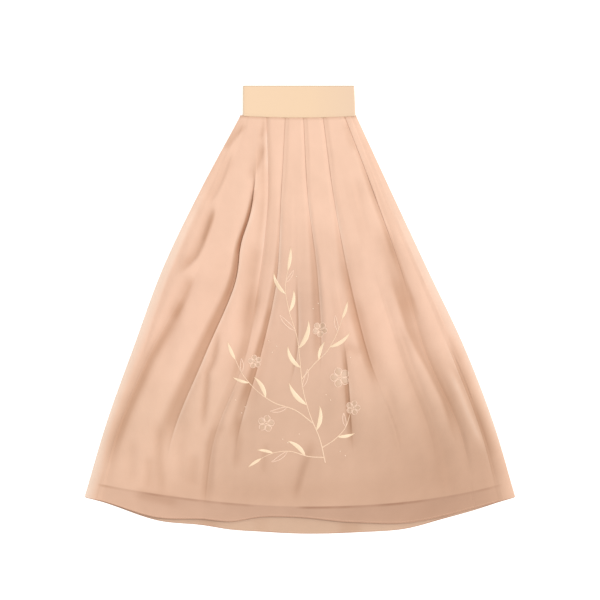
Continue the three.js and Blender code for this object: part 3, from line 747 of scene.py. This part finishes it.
class Thread:
    """Raised bars of thread on the top of a piece, gathered into one mesh."""

    def __init__(self, piece):
        self.ground = BVHTree.FromObject(piece, bpy.context.evaluated_depsgraph_get())
        self.points, self.faces, self.unwrapped = [], [], []

    def bar(self, path, half_widths, section, raise_by):
        """Runs a section of (across, up) points along a path in mm, closed at both ends. Where the
        bar is narrow it is lower too."""
        path = np.array(path, float)
        start, sides, count, run = len(self.points), len(section), len(path), 0.0
        for i, ((px, py), (tx, ty), half_width) in enumerate(zip(path, directions(path), half_widths)):
            run += 0 if i == 0 else float(np.linalg.norm(path[i] - path[i - 1]))
            thin = min(1, half_width / 1.2)
            for across, up in section:
                ax, ay = px - ty * across * half_width, py + tx * across * half_width
                hit = self.ground.ray_cast(Vector((ax * MM, ay * MM, 0.1)), Vector((0, 0, -1)))[0]
                az = hit.z / MM + up * raise_by * (0.35 + 0.65 * thin)
                self.points.append((ax * MM, ay * MM, az * MM))
                self.unwrapped.append((run * MM, across * half_width * MM))
        for a in range(start, start + (count - 1) * sides, sides):
            b = a + sides
            self.faces += [(a + k, b + k, b + (k + 1) % sides, a + (k + 1) % sides) for k in range(sides)]
        self.faces.append(tuple(start + k for k in range(sides)))
        self.faces.append(tuple(start + (count - 1) * sides + k for k in range(sides))[::-1])

    def seam(self, path, pitch, length, half_width, raise_by):
        """A row of machine stitches along a path of points in mm."""
        path = np.array(path, float)
        at = distances(path)
        for begin in np.arange(pitch / 2, at[-1] - length, pitch):
            stops = begin + length * np.array([0, 0.2, 0.8, 1])
            points = np.stack([np.interp(stops, at, path[:, k]) for k in (0, 1)], 1)
            self.bar(points, half_width * np.array([0.6, 1, 1, 0.6]), STITCH, raise_by)

    def piece(self, name, material, slot="chiffon"):
        piece = new_piece(name, self.points, self.faces, self.unwrapped)
        face_outwards()
        bpy.ops.object.shade_smooth_by_angle(angle=THREAD_SMOOTHING)
        piece.data.materials.append(material)
        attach(piece, "root")


def cotton(name, color):
    n = Nodes(name)
    ply = n.texture("Wave", n.on_cloth(), 400.0, {"Distortion": 0.5}, bands_direction="DIAGONAL")
    dark = tuple(0.75 * c for c in color)
    return n.finish(n.ramp(ply, [(0.0, dark), (0.7, color)]), ply, (0.5, 0.15), Roughness=0.6)


# The hem's dark brown is partly its layers of cloth and partly painted shade along the edge.
n = Nodes("rolled_hem")
twist = n.texture("Wave", n.in_space(), 90.0, {"Distortion": 2.0}, bands_direction="X")
color = n.ramp(twist, [(0.0, (0.4, 0.22, 0.15)), (1.0, (0.52, 0.31, 0.21))])
hem_cloth_and_edge_shade = n.finish(color, twist, (0.5, 0.4), Roughness=0.8)
front_edge = np.stack([x[-1], y[-1], z[-1]], 1)[HEM_ENDS:-HEM_ENDS]
back_x = np.linspace(-HALF_HEM + 2, HALF_HEM - 2, 300)
back_edge = np.stack([back_x, -through(back_drops, back_x), 0.6 + 0 * back_x], 1)
for name, path, sheet in (("front_hem", front_edge, skirt_front), ("back_hem", back_edge, skirt_back)):
    hem = roll_along(name, path, HEM_ACROSS, HEM_HIGH)
    hem.data.materials.append(hem_cloth_and_edge_shade)
    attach(hem, "root")
    sewing = Thread(sheet)
    sewing.seam(path[3:-3, :2] + (0, HEM_STITCH_UP), pitch=3.4, length=2.5, half_width=0.28, raise_by=0.32)
    sewing.piece(name + "_stitches", cotton(name + "_thread", (0.72, 0.46, 0.33)))


# The waistband
# One ring of wide elastic covered with smooth apricot cloth, pressed flat. Its top edge is a
# fold, and its lower edge is sewn over the tops of the pleats and dips a little in the middle.
BAND_WALL, BAND_GAP, BAND_SLANT = 3.0, 0.3, 3
BAND_TOP = LENGTH / 2
BAND_WAVES = 0.12
EDGE_ROUNDING = 0.9
rings, around = 26, 96
half = (2 * BAND_WALL + BAND_GAP) / 2
inner = BAND_GAP / 2
heights = np.concatenate([[0, 0.012, 0.03], np.linspace(0.08, 0.92, rings - 6), [0.97, 0.988, 1]])
points = []
for wall_out, order in ((True, heights), (False, heights[::-1])):
    for share_up in order:
        to_edge = min(share_up, 1 - share_up) * BAND_HEIGHT / EDGE_ROUNDING
        pull = EDGE_ROUNDING * (1 - math.sqrt(max(0, 1 - max(0, 1 - to_edge) ** 2)))
        deep = half - pull if wall_out else inner + pull * 0.3
        end_x = BAND_TO - BAND_SLANT * share_up
        for k in range(around):
            turn = k / around * 4
            side, t = int(turn), turn % 1
            if side in (0, 2):  # the front towards +X, and the back towards -X
                t = t if side == 0 else 1 - t
                px = (BAND_FROM + half) + (end_x - BAND_FROM - 2 * half) * t
                pz = deep if side == 0 else -deep
            else:  # the two folded ends
                angle = math.pi / 2 - math.pi * t
                sign = 1 if side == 1 else -1
                px = (end_x - half if side == 1 else BAND_FROM + half) + sign * deep * math.cos(angle)
                pz = deep * math.sin(angle) * sign
            low = float(waist_seam_y(px))
            py = low + (BAND_TOP - low) * share_up
            if wall_out and side == 0:
                pz += BAND_WAVES * float(ripple(px, py * 0.3, 60, 4))
            points.append((px * MM, py * MM, (half + pz) * MM))
faces = []
for a in range(0, len(points), around):
    b = (a + around) % len(points)
    faces += [(a + k, b + k, b + (k + 1) % around, a + (k + 1) % around) for k in range(around)]
waistband = new_piece("waistband", points, faces, np.array(points)[:, :2])
face_outwards()
bpy.ops.object.shade_smooth_by_angle(angle=CLOTH_SMOOTHING)
n = Nodes("apricot_band")
along = n.rescale(n.along("X"), BAND_FROM * MM, BAND_TO * MM)
color = n.ramp(along, [(0.0, (0.73, 0.54, 0.37)), (0.6, (0.72, 0.53, 0.36)), (1.0, (0.68, 0.5, 0.36))])
# Painted shade along the folded top edge of the band.
top = n.rescale(n.along("Y"), (BAND_TOP - 1.8) * MM, (BAND_TOP - 0.8) * MM)
color = n.mix("MULTIPLY", top, color, (0.56, 0.49, 0.45))
waistband.data.materials.append(
    n.finish(color, woven(n, 0.7, 5.0), (0.25, 0.3), Roughness=0.65, Sheen_Weight=0.15))
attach(waistband, "root")
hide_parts("waistband_front", "waistband_back")
sewing = Thread(waistband)
seam_x = np.linspace(BAND_FROM + 4, BAND_TO - 4, 60)
for above in (2.2, 6.0):
    row = np.stack([seam_x, waist_seam_y(seam_x) + above], 1)
    sewing.seam(row, pitch=3.2, length=2.4, half_width=0.26, raise_by=0.3)
sewing.piece("waist_stitches", cotton("apricot_thread", (0.74, 0.53, 0.36)), "waistband")


# The embroidery
# A light spray of leaves and open blossoms in silk on the lower middle of the front. Leaves are
# filled with raised satin stitch in cream, or only outlined in blush like the blossoms' petals,
# with thin stems and loose knots. The thread is worked through the sheer cloth alone.
STEM_WIDTH, STEM_RAISE, OUTLINE_WIDTH = 2.6, 0.8, 1.9
LEAF_RAISE, PETAL_RAISE, OUTLINE_RAISE = 0.9, 0.45, 0.9

STEMS = {
    "main": [(58, -352), (46, -300), (22, -240), (6, -180), (0, -120), (-8, -60), (-26, 0), (-34, 50),
        (-28, 92)],
    "left": [(30, -262), (-10, -232), (-60, -214), (-100, -186), (-134, -146), (-150, -112)],
    "right": [(4, -160), (30, -128), (62, -96), (84, -56), (98, -18)],
    "low_right": [(50, -318), (78, -300), (104, -272), (116, -238)],
    "low_left": [(56, -340), (20, -338), (-24, -326), (-62, -330), (-92, -344)],
}

# Each leaf: how far up its stem, its angle from the stem, counterclockwise, its length, width and
# bend, and whether it is filled or open.
LEAVES = {
    "main": [(0.17, -52, 58, 10, 45, "filled"), (0.31, 44, 66, 11, -45, "filled"),
        (0.4, -36, 44, 8, 25, "open"), (0.5, 54, 60, 10, -60, "filled"), (0.6, -52, 70, 11, 55, "filled"),
        (0.69, 38, 50, 9, -20, "open"), (0.79, -44, 52, 9, 40, "filled"), (0.88, 46, 58, 9, -50, "filled"),
        (0.94, -34, 34, 6, 20, "open"), (1.0, -6, 56, 8, 16, "filled")],
    "left": [(0.3, 44, 40, 8, -30, "open"), (0.52, -46, 56, 10, 45, "filled"),
        (0.74, 42, 40, 7, -25, "filled"), (0.86, -38, 32, 7, 20, "open"), (1.0, 6, 44, 8, -16, "filled")],
    "right": [(0.36, 46, 44, 8, -35, "filled"), (0.58, -44, 58, 9, 45, "filled"),
        (0.82, 40, 36, 7, -20, "open"), (1.0, -4, 42, 7, 14, "filled")],
    "low_right": [(0.42, -46, 40, 8, 30, "filled"), (0.72, 44, 32, 7, -20, "open")],
    "low_left": [(0.3, -44, 54, 10, 45, "filled"), (0.58, 46, 44, 8, -25, "open"),
        (0.8, -38, 38, 7, 20, "filled"), (1.0, 4, 36, 7, 8, "filled")],
}

# Each blossom: its middle, radius and turn. Then the loose knots.
BLOSSOMS = [(-78, -262, 19, 10), (92, -156, 23, 40), (122, -226, 16, 5), (46, -46, 17, 60),
    (-104, -120, 15, 30)]
KNOTS = [(-134, -238), (-126, -224), (-148, -208), (60, -196), (70, -208), (116, -110), (-64, -98),
    (-54, -84), (-72, -72), (30, 2), (42, 14), (-8, 76), (-40, -298), (-28, -306), (92, -326), (104, -336),
    (-2, -286)]

# A knot: its points across its middle, its half widths there, and its height.
HEART_KNOT = ((-1.6, -0.8, 0, 0.8, 1.6), (0.5, 1.4, 1.6, 1.4, 0.5), 1.3)
LOOSE_KNOT = ((-1.3, -0.6, 0, 0.6, 1.3), (0.4, 1.1, 1.3, 1.1, 0.4), 1.1)
TIP_KNOT = ((-1, 0, 1), (0.3, 1, 0.3), 1.1)

# The sections of a bar of thread, (across, up): round, and with a vein down its middle.
ROUND = [(-1, -0.1), (-0.7, 0.7), (0, 1), (0.7, 0.7), (1, -0.1), (0, -0.3)]
VEINED = [(-1, -0.1), (-0.75, 0.7), (-0.4, 1), (0, 0.45), (0.4, 1), (0.75, 0.7), (1, -0.1), (0, -0.3)]


def smooth_path(points, pitch):
    """Even points about pitch mm apart on a smooth curve through the given ones."""
    points = np.array(points, float)
    at = distances(points)
    even = np.linspace(0, at[-1], int(at[-1] / pitch) + 2)
    return np.stack([through(list(zip(at, points[:, k])), even) for k in (0, 1)], 1)


def spine(x, y, heading, length, bend, steps=14):
    """The middle line of a leaf or petal that starts at (x, y) mm."""
    angles = np.radians(heading + bend * np.linspace(0, 1, steps + 1)[:-1])
    step = length / steps
    return np.stack([x + np.concatenate([[0], np.cos(angles).cumsum()]) * step,
                     y + np.concatenate([[0], np.sin(angles).cumsum()]) * step], 1)


def half_width_along(width, count, widest):
    t = np.clip(np.linspace(0, 1, count), 0.015, 0.985)
    return width / 2 * np.sin(np.pi * t ** (math.log(0.5) / math.log(widest))) ** 0.85


def blade(thread, x, y, heading, length, width, bend, raise_by, widest=0.42):
    """A pointed leaf or petal filled with satin stitch."""
    path = spine(x, y, heading, length, bend)
    thread.bar(path, half_width_along(width, len(path), widest), VEINED, raise_by)


def outline(x, y, heading, length, width, bend, widest=0.45):
    """The outline of a leaf or petal, as two bowed lines of stem stitch that meet at its ends."""
    path = spine(x, y, heading, length, bend)
    tangent = directions(path)
    out = np.stack([-tangent[:, 1], tangent[:, 0]], 1) * half_width_along(width, len(path), widest)[:, None]
    taper = OUTLINE_WIDTH / 2 * np.interp(np.linspace(0, 1, len(path)), [0, 0.2, 0.8, 1], [0.6, 1, 1, 0.6])
    for side in (1, -1):
        outlines.bar(path + side * out, taper, ROUND, OUTLINE_RAISE)


def knot(x, y, steps, half_widths, raise_by):
    knots.bar([(x + step, y) for step in steps], half_widths, ROUND, raise_by)


def out_from(x, y, distance, angle):
    return x + distance * math.cos(math.radians(angle)), y + distance * math.sin(math.radians(angle))


def silk(name, color, dark):
    n = Nodes(name)
    uneven = {"Distortion": 1.2, "Detail": 1.0}
    strands = n.texture("Wave", n.on_cloth(), 260.0, uneven, bands_direction="DIAGONAL")
    return n.finish(n.ramp(strands, [(0.0, dark), (0.6, color)]), strands, (0.5, 0.25), Roughness=0.38,
                    Sheen_Weight=0.3, Specular_IOR_Level=0.6)


stems, leaves, petals, outlines, knots = (Thread(skirt_front) for _ in range(5))
for name, points in STEMS.items():
    path = smooth_path(points, 3)
    taper = np.linspace(1, 0.55, len(path)) * STEM_WIDTH / 2
    stems.bar(path, taper, ROUND, STEM_RAISE)
    for up, angle, length, width, bend, kind in LEAVES[name]:
        i = min(int(up * (len(path) - 1)), len(path) - 2)
        heading = math.degrees(math.atan2(*(path[i + 1] - path[i])[::-1])) + angle
        if kind == "filled":
            blade(leaves, *path[i], heading, length, width, bend, LEAF_RAISE)
        else:
            outline(*path[i], heading, length, width, bend)
for x, y, radius, turned in BLOSSOMS:
    for k in range(5):
        angle = turned + 72 * k
        base = out_from(x, y, 2.5, angle)
        blade(petals, *base, angle - 6, radius * 0.84, radius * 0.6, 12, PETAL_RAISE, 0.6)
        outline(*base, angle - 6, radius * 0.9, radius * 0.74, 12, 0.6)
        anther = out_from(x, y, radius * 0.5, angle + 36)
        stems.bar([base, anther], [0.5, 0.5], ROUND, STEM_RAISE)
        knot(*anther, *TIP_KNOT)
    knot(x, y, *HEART_KNOT)
for x, y in KNOTS:
    knot(x, y, *LOOSE_KNOT)
stems.piece("embroidery_stems", silk("silk_stem", (0.84, 0.63, 0.46), (0.62, 0.42, 0.29)))
leaves.piece("embroidery_leaves", silk("silk_leaf", (0.88, 0.7, 0.5), (0.68, 0.5, 0.34)))
petals.piece("embroidery_petals", silk("silk_petal", (0.6, 0.41, 0.29), (0.48, 0.31, 0.21)))
outlines.piece("embroidery_outlines", silk("silk_blush", (0.84, 0.62, 0.49), (0.64, 0.44, 0.33)))
knots.piece("embroidery_knots", silk("silk_knot", (0.92, 0.76, 0.6), (0.7, 0.52, 0.38)))


# The table, the light and the camera
# The skirt lies on a plain white table and is seen from straight above, in soft even light. The
# table glows a little, so that it shows as pure white.
TABLE_SIZE, TABLE_Z = 12, -0.0005
bpy.ops.mesh.primitive_plane_add(size=TABLE_SIZE, location=(0, 0, TABLE_Z))
floor = bpy.context.object
floor.name = "floor"
n = Nodes("white_table")
grain = n.texture("Noise", n.in_space(), 30.0)
color = n.ramp(grain, [(0.0, (0.93, 0.93, 0.93)), (1.0, (0.95, 0.95, 0.95))])
floor.data.materials.append(n.finish(color, grain, (0.02, 0.2), Roughness=0.8, Specular_IOR_Level=0.1))
n.shader.inputs["Emission Color"].default_value = (1, 1, 1, 1)
n.shader.inputs["Emission Strength"].default_value = 0.25
floor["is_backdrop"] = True

world = bpy.data.worlds.new("soft_daylight")
bpy.context.scene.world = world
world.use_nodes = True
sky = world.node_tree.nodes["Background"].inputs
sky["Color"].default_value = (1, 0.96, 0.91, 1)
sky["Strength"].default_value = 0.88
sun = bpy.data.lights.new("window", "SUN")
sun.energy, sun.angle = 1.7, math.radians(30)
sun.color = (0.98, 0.99, 1.0)
lamp = bpy.data.objects.new("window", sun)
bpy.context.scene.collection.objects.link(lamp)
SUN_RUNS = (-0.55, -0.3, -0.85)  # the way that its light goes
lamp.rotation_euler = Vector(SUN_RUNS).to_track_quat("-Z", "Y").to_euler()

SENSOR, LENS, WIDTH_SHOWN = 36, 100, 1.38
SKIRT_TOP_Z, SEEN_Y = 0.006, 0.0219  # the height that the width is shown at, and the picture's middle
camera = bpy.data.cameras.new("camera")
camera.sensor_width, camera.lens, camera.clip_end = SENSOR, LENS, 50
view = bpy.data.objects.new("camera", camera)
bpy.context.scene.collection.objects.link(view)
view.location = (0, SEEN_Y, WIDTH_SHOWN * LENS / SENSOR + SKIRT_TOP_Z)
bpy.context.scene.camera = view
bpy.context.scene.view_settings.view_transform = "Standard"

low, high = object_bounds()
